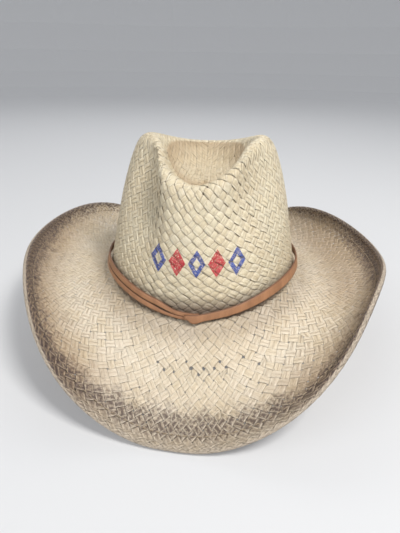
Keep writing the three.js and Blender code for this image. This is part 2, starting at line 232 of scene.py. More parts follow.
def make_mesh(name, points, quads, face_values=(), point_values=(), uv=None):
    mesh = bpy.data.meshes.new(name)
    points, quads = np.asarray(points), np.asarray(quads)
    mesh.vertices.add(len(points))
    mesh.vertices.foreach_set("co", place(points).ravel())
    mesh.loops.add(quads.size)
    mesh.loops.foreach_set("vertex_index", quads.ravel())
    mesh.polygons.add(len(quads))
    mesh.polygons.foreach_set("loop_start", np.arange(0, quads.size, 4))
    mesh.polygons.foreach_set("loop_total", np.full(len(quads), 4))
    mesh.polygons.foreach_set("use_smooth", np.ones(len(quads), bool))
    for key, values in face_values:
        mesh.attributes.new(key, "FLOAT", "FACE").data.foreach_set("value", values)
    for key, values in point_values:
        mesh.attributes.new(key, "FLOAT", "POINT").data.foreach_set("value", values)
    if uv is not None:
        mesh.uv_layers.new(name="UVMap").uv.foreach_set("vector", uv.ravel())
    mesh.update(calc_edges=True)
    return add_object(name, mesh)


# ---------------------------------------------------------------- the weave's net of crossings
TOP_RINGS = 13  # rings of the square weave on the crown's tip
SIDE_RINGS = 27
BRIM_RINGS = 21
HEM_RINGS = 7
SPLITS = {1: 2, 8: 3, 15: 4}  # brim ring: one place in how many gets a new pair of strands
FOOT_RING = TOP_RINGS + SIDE_RINGS
EDGE_RING = FOOT_RING + BRIM_RINGS
LAST_RING = EDGE_RING + HEM_RINGS
RELAX_ROUNDS = 120
UNEVEN_ANGLE, UNEVEN_RING = 0.05, 0.022  # how far places wander, in spacings and in the flat layout


def ring_radii():
    """How far from the tip each ring lies, as a share of the crown, then of the brim, then of the hem."""
    top = np.full(TOP_RINGS, 5.7)
    side = np.linspace(5.1, 2.9, SIDE_RINGS)
    crown = np.concatenate([[0], np.cumsum(np.concatenate([top, side]))])
    brim = np.linspace(0, 1, BRIM_RINGS + 1)[1:]
    hem = np.linspace(0, 1, HEM_RINGS + 1)[1:]
    return crown / crown[-1], brim, hem


EVEN_ANGLES = 360
EVEN_RHO = np.linspace(0, FOOT_AT, 241)
EVEN_BLUR = 12  # how many angles on each side a column is averaged with


def make_even_table():
    """What share of the way from the crown's tip to its foot each distance has gone, at each angle."""
    angle = np.arange(EVEN_ANGLES) * 2 * PI / EVEN_ANGLES
    a, rho = np.meshgrid(angle, EVEN_RHO)
    p = crown_point(a, FOOT_AT - rho)
    gone = np.cumsum(np.linalg.norm(np.diff(p, axis=0), axis=-1), axis=0)
    gone = np.vstack([np.zeros((1, EVEN_ANGLES)), gone])
    wide = np.concatenate([gone[:, -EVEN_BLUR:], gone, gone[:, :EVEN_BLUR]], 1)
    kernel = np.ones(2 * EVEN_BLUR + 1) / (2 * EVEN_BLUR + 1)
    evened = np.apply_along_axis(lambda row: np.convolve(row, kernel, "valid"), 1, wide)
    return evened / evened[-1]


EVEN_TABLE = make_even_table()


def even_rho(angle, share):
    """Turns a share of the way from the crown's tip to its foot into a distance in the flat layout."""
    turn = (angle % (2 * PI)) / (2 * PI)
    column = np.round(turn * EVEN_ANGLES).astype(int) % EVEN_ANGLES
    return np.array([np.interp(s, EVEN_TABLE[:, i], EVEN_RHO) for s, i in zip(share, column)])


class Net:
    """Places between strands, ring by ring from the crown's tip, and the crossings between them."""

    def __init__(self):
        self.ring_of = [0]
        self.angle = [0.0]
        self.faces = []
        self.face_ring = []
        self.split = set()
        self.links = []

    def add(self, ring, angle):
        self.ring_of.append(ring)
        self.angle.append(angle)
        return len(self.ring_of) - 1

    def grow(self):
        ring = [self.add(1, i * PI / 2) for i in range(4)]
        parents = [0] * 4
        axis = set(ring)
        for n in range(2, LAST_RING + 1):
            if n <= TOP_RINGS:
                splits = axis
            else:
                every = SPLITS.get(n - 1 - FOOT_RING)
                splits = set(ring[1::every]) if every else set()
            self.split |= splits if n > TOP_RINGS else set()
            ring, parents, axis = self.next_ring(n, ring, parents, splits)
        return self

    def next_ring(self, n, ring, parents, splits):
        made, made_parents, extras = [], [], set()
        count = len(ring)
        for j, v in enumerate(ring):
            follow = ring[(j + 1) % count]
            if v in splits:
                extra = self.add(n, self.angle[v])
                self.links.append((v, extra))
                made.append(extra)
                made_parents.append(v)
                extras.add(extra)
            turn = (self.angle[follow] - self.angle[v]) % (2 * PI)
            between = self.add(n, self.angle[v] + turn / 2)
            self.links += [(v, between), (follow, between)]
            made.append(between)
            made_parents.append(follow)
            self.faces.append((parents[j], v, between, follow))
            self.face_ring.append(n - 1)
        return made, made_parents, extras


def lattice_place(ring, index):
    """A place in the square weave on the crown's tip, eased into a round ring as it grows."""
    quarter, along = divmod(index, ring)
    x, y = ring - along, along
    ease = (ring / TOP_RINGS) ** 1.5
    square_angle = math.atan2(y, x)
    angle = square_angle + (along / ring * PI / 2 - square_angle) * ease
    reach = math.hypot(x, y) / ring
    return quarter * PI / 2 + angle, reach + (1 - reach) * ease


def net_places(net):
    """The flat layout of the net: its angles relaxed so that strands run in smooth curves."""
    crown, brim, hem = ring_radii()
    ring_of = np.array(net.ring_of)
    angle = np.array(net.angle)
    share = np.zeros(len(ring_of))
    for ring in range(1, TOP_RINGS + 1):
        for index, v in enumerate(np.flatnonzero(ring_of == ring)):
            angle[v], share[v] = lattice_place(ring, index)
            share[v] *= crown[ring]
    side = (ring_of > TOP_RINGS) & (ring_of <= FOOT_RING)
    share[side] = crown[ring_of[side]]
    links = np.array(net.links)
    free = ring_of > TOP_RINGS
    turn = np.exp(1j * angle)
    for _ in range(RELAX_ROUNDS):
        total = np.zeros(len(turn), complex)
        np.add.at(total, links[:, 0], turn[links[:, 1]])
        np.add.at(total, links[:, 1], turn[links[:, 0]])
        turn = np.where(free, total / np.maximum(np.abs(total), 1e-9), turn)
    angle = np.angle(turn)
    spacing = 2 * PI / np.bincount(ring_of)[ring_of]
    angle += spacing * rng.uniform(-UNEVEN_ANGLE, UNEVEN_ANGLE, len(angle))
    rho = np.zeros(len(ring_of))
    on_crown = ring_of <= FOOT_RING
    rho[on_crown] = even_rho(angle[on_crown], share[on_crown])
    on_brim = (ring_of > FOOT_RING) & (ring_of <= EDGE_RING)
    rho[on_brim] = FOOT_AT + (EDGE_AT - FOOT_AT) * brim[ring_of[on_brim] - FOOT_RING - 1]
    on_hem = ring_of > EDGE_RING
    rho[on_hem] = EDGE_AT + (FLAP_AT - EDGE_AT) * hem[ring_of[on_hem] - EDGE_RING - 1]
    loose = (ring_of > 1) & (ring_of != FOOT_RING) & (ring_of < EDGE_RING - 1)
    rho[loose] += rng.uniform(-UNEVEN_RING, UNEVEN_RING, loose.sum())
    return np.stack([rho * cos(angle), rho * sin(angle)], -1)


# ---------------------------------------------------------------- strands over and under each other
SECTION = np.array([[-1, 0], [-0.87, 0.85], [0, 0.8], [0.87, 0.85], [1, 0], [0, -0.9]])  # across, up
SIDES = len(SECTION)
UV_STEPS = 5.0  # section points to one unit of the UV across a strand
STRAND_HALF = 0.28  # half the thickness of a strand
RISE = 0.36  # how far a strand climbs over the one that it crosses
ROWS = np.array([0.13, 0.5, 0.87])
ROW_RISE = np.array([0.84, 1.0, 0.84])
HOLE_SPLIT = 8  # the brim ring whose new pairs leave open holes at the front
CREASE_HOLES = (0.14, 6.2)  # angle from straight ahead and distance from the tip of the holes by the crease
COVER = 0.494  # half a strand's width, as a share of the distance between two places
EDGE_UNEVEN = 0.08  # how much a strand's height varies where it passes from one crossing to the next
RELIEF = dict(crown=0.68, brim=-0.14, front=0.45)  # depth of the weave, and what brim and front add to it
LEAN = 0.28  # how much higher the strands that fall to the right lie on the crown's front
WIDER = 0.35  # and how much wider they are for each millimetre of that
DRAWN_CHANCE = dict(crown=0.08, brim=0.22, wearers_left=0.3)  # how often strands draw back a little
DRAWN, CLOSED, OPENED, CREASED = (0.03, 0.075), 0.008, (0.10, 0.20), 0.12  # how far, of a crossing


def net_edges(faces):
    """The net's edges, and for each crossing the first and last edge of its strands a and b."""
    pairs = np.concatenate([faces[:, [0, 1]], faces[:, [3, 2]], faces[:, [0, 3]], faces[:, [1, 2]]])
    edges, inverse = np.unique(pairs, axis=0, return_inverse=True)
    return edges, inverse.reshape(4, -1)


def edge_sections(edges, face_edges, plan, half, shift):
    """The section of the strand through each edge, on the hat and in the flat layout."""
    across, up = SECTION.T
    t = 0.5 + shift[:, None] + across * half[:, None]
    u, w = plan[edges[:, 0]], plan[edges[:, 1]]
    edge_plan = u[:, None] + (w - u)[:, None] * t[..., None]
    middle = (u + w) / 2
    family = np.zeros(len(edges))
    family[face_edges[:2]] = 1
    family[face_edges[2:]] = -1
    rise = rng.uniform(-EDGE_UNEVEN, EDGE_UNEVEN, len(edges)) + family * crossing_relief(middle)[1]
    return lift_points(edge_plan, middle, rise[:, None] + up * STRAND_HALF), edge_plan.reshape(-1, 2)


def strand_sections(corners, is_a, half, shift, height, higher):
    """The sections of one strand inside each crossing, row by row, with how high each row is."""
    across, up = SECTION.T
    lateral = 0.5 + shift[:, None] + across * (half * (1 + WIDER * higher))[:, None]
    for along, rise in zip(ROWS, ROW_RISE):
        row_plan = bilinear(corners, *((along, lateral) if is_a else (lateral, along)))
        middle = bilinear(corners, *((along, 0.5) if is_a else (0.5, along)))
        lifted = (height * rise + higher)[:, None] + up * STRAND_HALF
        yield lift_points(row_plan, middle, lifted), row_plan.reshape(-1, 2), rise


def strand_quads(rows, is_a):
    """Quads between a strand's rows of section points, and their corners' UV."""
    quads, uvs = [], []
    for i in range(len(rows) - 1):
        for s in range(SIDES):
            n = (s + 1) % SIDES
            quad = np.stack([rows[i][:, s], rows[i][:, n], rows[i + 1][:, n], rows[i + 1][:, s]], 1)
            corner = np.array([[i, s], [i, s + 1], [i + 1, s + 1], [i + 1, s]]) / [len(rows) - 1, UV_STEPS]
            uv = np.repeat(corner[None], len(quad), 0)
            quads.append(quad if is_a else quad[:, ::-1])
            uvs.append(uv if is_a else uv[:, ::-1])
    return np.concatenate(quads), np.concatenate(uvs)


def weave(net, plan):
    """Points and quads of every strand, with what the materials need to know at each."""
    faces, face_ring = np.array(net.faces), np.array(net.face_ring)
    edges, face_edges = net_edges(faces)
    half, shift = edge_cover(net, edges, plan)
    edge_points, edge_plan = edge_sections(edges, face_edges, plan, half, shift)
    points, plans, levels = [edge_points], [edge_plan], [np.zeros(len(edge_points))]
    corners = plan[faces]
    relief, lean = crossing_relief(corners.mean(1))
    over_a = np.where(face_ring % 2 == 0, 1.0, -1.0)
    quads, uvs, brick = [], [], []
    base = len(edge_points)
    per_strand = (len(ROWS) + 1) * SIDES
    for is_a in (True, False):
        first, last = face_edges[:2] if is_a else face_edges[2:]
        sign, higher = (over_a, lean) if is_a else (-over_a, -lean)
        height = RISE * relief * rng.uniform(0.85, 1.15, len(faces)) * sign
        rows = [first[:, None] * SIDES + np.arange(SIDES)]
        mean_half = (half[first] + half[last]) / 2 * rng.uniform(0.985, 1.02, len(faces))
        mean_shift = (shift[first] + shift[last]) / 2
        sections = strand_sections(corners, is_a, mean_half, mean_shift, height, higher)
        for row_points, row_plan, rise in sections:
            points.append(row_points)
            plans.append(row_plan)
            levels.append(np.repeat(sign * rise, SIDES))
            rows.append(base + np.arange(len(row_points)).reshape(-1, SIDES))
            base += len(row_points)
        rows.append(last[:, None] * SIDES + np.arange(SIDES))
        strand, uv = strand_quads(rows, is_a)
        uv[..., 0] += np.tile(rng.uniform(0, 50, len(faces)), per_strand)[:, None]
        quads.append(strand)
        uvs.append(uv)
        brick.append(np.tile(rng.uniform(0, 1, len(faces)), per_strand))
    return dict(
        points=np.concatenate(points), plans=np.concatenate(plans), level=np.concatenate(levels),
        quads=np.concatenate(quads), uv=np.concatenate(uvs), brick=np.concatenate(brick),
        owner=np.tile(np.arange(len(faces)), 2 * per_strand), edges=edges, face_edges=face_edges,
        face_ring=face_ring,
    )


def crossing_relief(plan):
    """How deep the weave is at each place, and how much higher the strands that fall to the right lie."""
    rho = np.hypot(plan[:, 0], plan[:, 1])
    front = smooth((-plan[:, 1] / np.maximum(rho, 1) - 0.55) / 0.35)
    on_front = front * smooth((rho - 4.5) / 1.5) * (1 - smooth((rho - FOOT_AT + 0.5) / 0.8))
    flat = smooth((rho - FOOT_AT) / 1.5)
    return RELIEF["crown"] + RELIEF["brim"] * flat + RELIEF["front"] * on_front, LEAN * on_front


def openings(net, plan):
    """How far, as a share of a crossing, the strands draw back from each place between them."""
    ring_of = np.array(net.ring_of)
    rho = np.hypot(plan[:, 0], plan[:, 1])
    ahead = np.abs(np.arctan2(plan[:, 0], -plan[:, 1]))
    wearers_left = np.maximum(plan[:, 0] / np.maximum(rho, 1), 0)
    on_brim = DRAWN_CHANCE["brim"] + DRAWN_CHANCE["wearers_left"] * wearers_left
    drawn = rng.uniform(0, 1, len(plan)) < np.where(rho > FOOT_AT, on_brim, DRAWN_CHANCE["crown"])
    opening = np.where(drawn, rng.uniform(*DRAWN, len(plan)), CLOSED)
    opened = np.zeros(len(plan), bool)
    opened[list(net.split)] = True
    at_front = (ahead < 0.40) & (np.abs(ring_of - FOOT_RING - HOLE_SPLIT) <= 1)
    opened |= rng.uniform(0, 1, len(plan)) < 0.17
    opening = np.where(opened & at_front, rng.uniform(*OPENED, len(plan)), opening)
    near_crease = (np.abs(rho - CREASE_HOLES[1]) < 0.5) & (np.abs(ahead - CREASE_HOLES[0]) < 0.09)
    return np.where(near_crease & (plan[:, 0] > 0), CREASED, opening)


def edge_cover(net, edges, plan):
    """Half width and sideways shift of the strand through each edge. It draws back from openings."""
    opening = openings(net, plan)
    slack = 0.5 - COVER
    low = slack * rng.uniform(0.2, 1.6, len(edges)) + opening[edges[:, 0]]
    high = 1 - slack * rng.uniform(0.2, 1.6, len(edges)) - opening[edges[:, 1]]
    return (high - low) / 2, (high + low) / 2 - 0.5


def bilinear(corners, a, b):
    """A point of each crossing: a from its top-left edge to the opposite one, b down its left side."""
    a, b = np.asarray(a)[..., None], np.asarray(b)[..., None]
    if a.ndim + b.ndim > 2:
        corners = corners[:, :, None]
    top, left, bottom, right = (corners[:, i] for i in range(4))
    return (1 - a) * ((1 - b) * top + b * left) + a * ((1 - b) * right + b * bottom)


def lift_points(plan, middle, height):
    """Section points on the sheet, each raised along the normal at its section's middle."""
    normal = sheet_normal(middle)
    return (sheet_point(plan) + normal[:, None] * height[..., None]).reshape(-1, 3)


def weave_piece(name, woven, low, high):
    """The part of the weave whose crossings lie from one ring up to another, as a closed mesh."""
    face_in = (woven["face_ring"] >= low) & (woven["face_ring"] < high)
    keep = face_in[woven["owner"]]
    quads, uv, brick = woven["quads"][keep], woven["uv"][keep], woven["brick"][keep]
    caps, cap_uv = end_caps(woven, face_in)
    quads = np.concatenate([quads, caps])
    uv = np.concatenate([uv, cap_uv])
    brick = np.concatenate([brick, np.full(len(caps), 0.5)])
    used, index = np.unique(quads, return_inverse=True)
    rho = np.hypot(*woven["plans"][used].T)
    angle = np.arctan2(*woven["plans"][used].T[::-1])
    per_unit = brim_width(angle) / (EDGE_AT - FOOT_AT)
    inward = np.where(rho < EDGE_AT, (EDGE_AT - rho) * per_unit, (EDGE_AT - rho) * HEM_UNIT)
    from_foot = np.where(rho < FOOT_AT, (FOOT_AT - rho) * RING_STEP, (rho - FOOT_AT) * per_unit)
    values = [
        ("inward", inward), ("from_foot", from_foot), ("level", woven["level"][used]),
        ("on_crown", (rho < FOOT_AT).astype(float)), ("ahead", -sin(angle)),
    ]
    return make_mesh(name, woven["points"][used], index.reshape(-1, 4), [("brick", brick)], values, uv)


def end_caps(woven, face_in):
    """Closes each strand where it leaves the piece."""
    inside = [chosen[face_in] for chosen in woven["face_edges"]]
    count = np.zeros(len(woven["edges"]), int)
    for chosen in inside:
        np.add.at(count, chosen, 1)
    forward = np.array([[0, 1, 2, 5], [2, 3, 4, 5]])
    caps = []
    for chosen, flip in zip(inside, (True, False, False, True)):
        lone = chosen[count[chosen] == 1]
        quads = lone[:, None, None] * SIDES + (forward[:, ::-1] if flip else forward)
        caps.append(quads.reshape(-1, 4))
    caps = np.concatenate(caps)
    return caps, np.zeros((len(caps), 4, 2))


net = Net().grow()
woven = weave(net, net_places(net))
crown_straw = weave_piece("crown_straw", woven, 0, FOOT_RING)
brim_straw = weave_piece("brim_straw", woven, FOOT_RING, EDGE_RING - 1)
hem_straw = weave_piece("hem_straw", woven, EDGE_RING - 1, LAST_RING + 1)
for piece, node in [(crown_straw, "crown"), (brim_straw, "brim"), (hem_straw, "brim_hem")]:
    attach(piece, "hat")
    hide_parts(node)


# ---------------------------------------------------------------- bands, threads and label
STRAW_HALF = 0.9  # half the CAD sheet's thickness
STRAP = dict(wide=8, thick=1.5, corner=0.55, narrow=4.4, stand_off=0.5, slack=3.2)
STRAND = dict(wide=4, thick=1.3, corner=0.5, height=4.0, outward=0.4)
LAP = 0.09  # how far the strap's two ends pass each other at the front, radians
FOLD = dict(start=0.55, over=0.14, lift=4.5)  # where the strap narrows and rises over its lower strand
TUCK = dict(start=0.955, over=0.035, lift=1.9, narrower=1.4)  # where its far end goes under the lap
POINT = dict(lift=3.6, cut=4.4, drop=1.5)  # its slanted end at the front
BAND_LIE = np.array([  # every 22.5 degrees from straight ahead: height over the brim, strap's width
    [0.6, 5.6], [3.4, 6.4], [5.8, 7.8], [5.2, 8.4], [2.6, 8.5], [1, 8.5], [0.6, 8.5],
])
FRONT, BACK = -PI / 2, PI / 2
LINING_NEAR = STRAW_HALF + 0.5
LINING_THICK = 1.2
BINDING_NEAR = LINING_NEAR + LINING_THICK + 0.4
BINDING_THICK = 0.8
BAND_LOW, BAND_HIGH, BINDING_HIGH = 0.22, 1.45, 0.36
ELASTIC_HALF_ANGLE = 0.42
JOINT_GAP = 0.0035  # between the sweatband's ends and the elastic, radians
LABEL = dict(half_angle=0.17, low=0.5, high=1.15, thick=0.4)
THREAD_R = 0.35
STITCH_INWARD = 8.5  # from the brim's edge to the thread that holds the hem
STITCH_RINGS, STITCH_SIDES = 7, 6
HEM_THREAD_OFF = STRAW_HALF + 0.3
END_SIZE = 0.02  # the size of the last ring at a band's closed end, as a share of its section


def strap_off(angle):
    """How far the strap stands off the crown: it lies close at the front and hangs slack at the back."""
    return STRAP["stand_off"] + STRAP["slack"] * (0.5 + 0.5 * sin(angle))


def rounded(wide, thick, radius, corner=3, flat=3):
    """A rectangle with round corners: where across (0 to wide) and where through (0 to thick)."""
    turns = np.linspace(0, PI / 2, corner)
    corners = [(wide - radius, thick - radius, 0), (radius, thick - radius, 1), (radius, radius, 2),
               (wide - radius, radius, 3)]
    outline = []
    for x, y, quarter in corners:
        t = turns + quarter * PI / 2
        outline.append(np.stack([x + radius * cos(t), y + radius * sin(t)], -1))
    path = []
    for i, part in enumerate(outline):
        path.append(part)
        if i % 2 == 0:
            share = np.linspace(0, 1, flat + 2)[1:-1, None]
            path.append(part[-1] * (1 - share) + outline[(i + 1) % 4][0] * share)
    return np.concatenate(path)


def swept(name, rings, closed, lengths, values=()):
    """A tube through rings of points. Unless it is closed, its ends are drawn together and capped."""
    rings = np.asarray(rings)
    count, around = rings.shape[:2]
    if not closed:
        middle = rings.mean(1, keepdims=True)
        small = middle + (rings - middle) * END_SIZE
        rings = np.concatenate([small[:1], rings, small[-1:]])
        lengths = np.concatenate([lengths[:1], lengths, lengths[-1:]])
        values = [(key, np.concatenate([v[:1], v, v[-1:]])) for key, v in values]
        count += 2
    index = np.arange(count * around).reshape(count, around)
    a = index if closed else index[:-1]
    b = np.roll(index, -1, 0) if closed else index[1:]
    quads = np.stack([a, np.roll(a, -1, 1), np.roll(b, -1, 1), b], -1).reshape(-1, 4)
    u = np.concatenate([lengths, [2 * lengths[-1] - lengths[-2]]]) if closed else lengths
    rows, cols = np.meshgrid(np.arange(len(a)), np.arange(around), indexing="ij")
    uv = np.stack([
        np.stack([u[rows], cols / around], -1), np.stack([u[rows], (cols + 1) / around], -1),
        np.stack([u[rows + 1], (cols + 1) / around], -1), np.stack([u[rows + 1], cols / around], -1),
    ], 2).reshape(-1, 4, 2)
    if not closed:
        i = np.arange(around // 2 - 1)
        fan = np.stack([i, i + 1, around - 2 - i, around - 1 - i], 1)
        fans = np.concatenate([index[0][fan][:, ::-1], index[-1][fan]])
        quads = np.concatenate([quads, fans])
        uv = np.concatenate([uv, np.zeros((len(fans), 4, 2))])
    points = rings.reshape(-1, 3)
    mesh_values = [(key, np.repeat(v, around) if v.ndim == 1 else v.ravel()) for key, v in values]
    return make_mesh(name, points, outward(points, quads), (), mesh_values, uv)


def outward(points, quads):
    """The quads, turned over if they face inwards."""
    a, b, c, d = (points[quads[:, i]] for i in range(4))
    volume = np.einsum("ij,ij->", a, np.cross(b, c)) + np.einsum("ij,ij->", a, np.cross(c, d))
    return quads if volume > 0 else quads[:, ::-1]


def gone_along(points):
    return np.concatenate([[0], np.cumsum(np.linalg.norm(np.diff(points, axis=0), axis=1))])


def wave(angle, seed, size):
    """A slow irregular wander round the hat."""
    phases = np.random.default_rng(seed).uniform(0, 6, 5)
    return size * sum(sin(n * angle + p) / (1 + n / 6) for n, p in zip((3, 5, 9, 14, 23), phases)) / 2


def band_rings(angle, low, high, off, thick, cross):
    """Rings of a band round the crown. cross holds shares up the band's height and through it."""
    up = low[:, None] + (high - low)[:, None] * cross[:, 0]
    depth = off[:, None] + thick * cross[:, 1]
    a = np.repeat(angle[:, None], len(cross), 1)
    rings = off_surface(crown_point, a, (up + STRAW_HALF) / RING_STEP, STRAW_HALF + depth)
    rings[..., 2] = crown_point(a, np.zeros_like(a))[..., 2] + STRAW_HALF + up
    return rings


def leather_band(name, angle, low, height, off, size):
    """A band of leather round the crown, whose points know how near its cut edges they lie."""
    cross = rounded(size["wide"], size["thick"], size["corner"]) / [size["wide"], size["thick"]]
    rings = band_rings(angle, low, low + height, off, size["thick"], cross)
    edge = np.repeat(np.abs(2 * cross[None, :, 0] - 1), len(angle), 0)
    return swept(name, rings, False, gone_along(rings[:, 0]), [("edge", edge)])


def band_lie(angle):
    ahead = np.abs(np.arctan2(cos(angle), -sin(angle))) * 180 / PI
    return np.moveaxis(rows_at(BAND_LIE, ahead / 22.5), -1, 0)


def strap_mesh():
    start = FRONT - LAP
    angle = np.linspace(start, FRONT + 2 * PI + LAP * 0.4, 260)
    gone = (angle - start) / (2 * PI)
    from_tip = (angle - start) / LAP
    over_lap = 1 - smooth(from_tip / 3.2)
    folded = smooth((gone - FOLD["start"]) / FOLD["over"])
    tucked = smooth((gone - TUCK["start"]) / TUCK["over"])
    slant = 1 - smooth(from_tip / 0.8)
    drop = smooth(from_tip / 0.9) * (1 - smooth((from_tip - 0.9) / 1.1))
    lie, width = band_lie(angle)
    ends = smooth(gone / 0.05) * smooth((1 - gone) / 0.05)
    low = lie + (FOLD["lift"] - TUCK["lift"] * tucked) * folded + wave(angle, 3, 0.16) * ends
    height = width + (STRAP["narrow"] - width) * folded - TUCK["narrower"] * tucked
    low = low + POINT["lift"] * slant - POINT["drop"] * drop
    height = height - POINT["cut"] * slant + POINT["drop"] * drop
    off = strap_off(angle) + over_lap * (STRAP["thick"] + 1.3)
    return leather_band("strap_leather", angle, low, height, off, STRAP)


def strand_mesh():
    angle = np.linspace(FRONT - PI * 0.62, FRONT - 0.5 * LAP, 90)
    squeezed = smooth((angle - FRONT + 4.8 * LAP) / (2.2 * LAP))
    off = strap_off(angle) + STRAND["outward"]
    low = band_lie(angle)[0] - 0.1
    return leather_band("strand_leather", angle, low, STRAND["height"] - 1.6 * squeezed, off, STRAND)


def lining_mesh(name, angles, low, high, near, thick, radius, closed=False):
    """A band against the inside of the crown, between two ring numbers."""
    wide = (high - low) * RING_STEP
    cross = rounded(wide, thick, radius, 3, 7)
    a = np.repeat(angles[:, None], len(cross), 1)
    k = np.broadcast_to(low + cross[:, 0] / RING_STEP, a.shape)
    rings = off_surface(crown_point, a, k, -(near + cross[:, 1]))
    return swept(name, rings, closed, gone_along(rings[:, 0]))


def stitch_row(name, count, place_thread, share, radius):
    """Separate stitches in a row: each a short thread that rises from the straw and dives back."""
    steps = np.linspace(-1, 1, STITCH_RINGS)
    dive = np.abs(steps) ** 3
    turn = np.arange(STITCH_SIDES) * 2 * PI / STITCH_SIDES
    index = np.arange(STITCH_RINGS * STITCH_SIDES).reshape(STITCH_RINGS, STITCH_SIDES)
    a, b = index[:-1], index[1:]
    sides = np.stack([a, np.roll(a, -1, 1), np.roll(b, -1, 1), b], -1).reshape(-1, 4)
    caps = [index[0][[3, 2, 1, 0]], index[0][[5, 4, 3, 0]], index[-1][[0, 1, 2, 3]], index[-1][[0, 3, 4, 5]]]
    all_points, all_quads = [], []
    spacing = 2 * PI / count
    for i in range(count):
        angle = BACK + (i + 0.5) * spacing + steps * spacing * share / 2
        at, out, up = place_thread(angle)
        centre = at - up * (dive * radius * 1.6)[:, None]
        r = radius * np.where(np.abs(steps) == 1, 0.35, 1.0)[:, None, None]
        round_it = cos(turn)[:, None] * out[:, None] + sin(turn)[:, None] * up[:, None]
        ring = (centre[:, None] + r * round_it).reshape(-1, 3)
        all_points.append(ring)
        all_quads.append(outward(ring, np.concatenate([sides, caps])) + index.size * i)
    quads = np.concatenate(all_quads)
    return make_mesh(name, np.concatenate(all_points), quads, (), (), np.zeros((len(quads), 4, 2)))


def stitch_line(surface, angle, k, off, step, side):
    """Where stitches run off a surface, the way across their row, and the way out of the cloth."""
    off = np.full_like(angle, off)
    at = off_surface(surface, angle, k, off)
    across = off_surface(surface, angle, k + step, off) - at
    return at, unit(across), (off_surface(surface, angle, k, off + 1) - at) * side


def on_hem_line(angle):
    return stitch_line(brim_point, angle, 1 - STITCH_INWARD / brim_width(angle), HEM_THREAD_OFF, 0.01, 1)


def on_binding_line(angle):
    k = np.full_like(angle, (BAND_LOW + BINDING_HIGH) / 2)
    return stitch_line(crown_point, angle, k, -(BINDING_NEAR + BINDING_THICK + 0.3), 0.05, -1)


strap = strap_mesh()
strand = strand_mesh()
all_round = np.linspace(0, 2 * PI, 181)[:-1]
from_joint = BACK + ELASTIC_HALF_ANGLE + JOINT_GAP
to_joint = BACK - ELASTIC_HALF_ANGLE - JOINT_GAP
band_angles = np.linspace(from_joint, to_joint + 2 * PI, 150)
elastic_angles = np.linspace(BACK - ELASTIC_HALF_ANGLE, BACK + ELASTIC_HALF_ANGLE, 40)
label_angles = np.linspace(BACK - LABEL["half_angle"], BACK + LABEL["half_angle"], 24)
lining = dict(low=BAND_LOW, high=BAND_HIGH, near=LINING_NEAR, thick=LINING_THICK, radius=0.5)
taped = dict(low=BAND_LOW, high=BINDING_HIGH, near=BINDING_NEAR, thick=BINDING_THICK, radius=0.35)
labelled = dict(low=LABEL["low"], high=LABEL["high"], near=BINDING_NEAR, thick=LABEL["thick"], radius=0.18)
sweatband = lining_mesh("sweatband_cloth", band_angles, **lining)
elastic = lining_mesh("elastic_cloth", elastic_angles, **lining)
binding = lining_mesh("binding_tape", all_round, closed=True, **taped)
label = lining_mesh("label_cloth", label_angles, **labelled)
hem_threads = stitch_row("hem_threads", 245, on_hem_line, 0.70, THREAD_R)
band_threads = stitch_row("band_threads", 150, on_binding_line, 0.68, THREAD_R)
FITTED = [
    (strap, "hatband_strap", "hatband"), (strand, "hatband_lower_strand", "hatband"),
    (sweatband, "sweatband", "hat"), (elastic, "sweatband_elastic", "hat"),
    (binding, "sweatband_binding", "hat"), (label, "care_label", "hat"),
    (hem_threads, "hem_stitching", "hat"), (band_threads, "sweatband_stitching", "hat"),
]
for piece, node, body in FITTED:
    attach(piece, body)
    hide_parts(node)


# ---------------------------------------------------------------- materials
class Graph:
    """A material's nodes, which all lead to its Principled shader."""

    def __init__(self, name):
        self.material = bpy.data.materials.new(name)
        self.material.use_nodes = True
        self.tree = self.material.node_tree
        self.shader = self.tree.nodes["Principled BSDF"]

    def put(self, socket, value):
        if isinstance(value, bpy.types.NodeSocket):
            self.tree.links.new(value, socket)
        elif isinstance(value, tuple) and len(value) == 3 and socket.type == "RGBA":
            socket.default_value = (*value, 1)
        else:
            socket.default_value = value

    def node(self, kind, inputs=(), **settings):
        made = self.tree.nodes.new("ShaderNode" + kind)
        for key, value in settings.items():
            setattr(made, key, value)
        for key, value in dict(inputs).items():
            self.put(made.inputs[key], value)
        return made

    def value(self, name):
        return self.node("Attribute", attribute_name=name).outputs["Fac"]

    def math(self, operation, a, b=0.0):
        return self.node("Math", {0: a, 1: b}, operation=operation).outputs[0]

    def times(self, *values):
        total = values[0]
        for value in values[1:]:
            total = self.math("MULTIPLY", total, value)
        return total

    def step(self, value, low, high, to_low=0.0, to_high=1.0):
        """Eases from to_low, where the value is at low, to to_high, where it is at high."""
        ins = {"Value": value, "From Min": low, "From Max": high, "To Min": to_low, "To Max": to_high}
        return self.node("MapRange", ins, interpolation_type="SMOOTHSTEP").outputs["Result"]

    def mix(self, share, a, b, blend="MIX"):
        made = self.node("Mix", data_type="RGBA", blend_type=blend)
        for index, value in ((0, share), (6, a), (7, b)):
            self.put(made.inputs[index], value)
        return made.outputs[2]

    def mix_value(self, share, a, b):
        made = self.node("Mix", {0: share, 2: a, 3: b}, data_type="FLOAT")
        return made.outputs[0]

    def coords(self, which="Object", scale=(1, 1, 1)):
        source = self.node("TexCoord").outputs[which]
        return self.node("Mapping", {"Vector": source, "Scale": scale}).outputs[0]

    def noise(self, vector, scale, detail=3.0, roughness=0.5):
        ins = {"Vector": vector, "Scale": scale, "Detail": detail, "Roughness": roughness}
        return self.node("TexNoise", ins).outputs["Fac"]

    def bump(self, height, strength, distance, below=None):
        ins = {"Height": height, "Strength": strength, "Distance": distance}
        if below is not None:
            ins["Normal"] = below
        return self.node("Bump", ins).outputs[0]

    def finish(self, **inputs):
        for key, value in inputs.items():
            self.put(self.shader.inputs[key.replace("_", " ")], value)
        return self.material


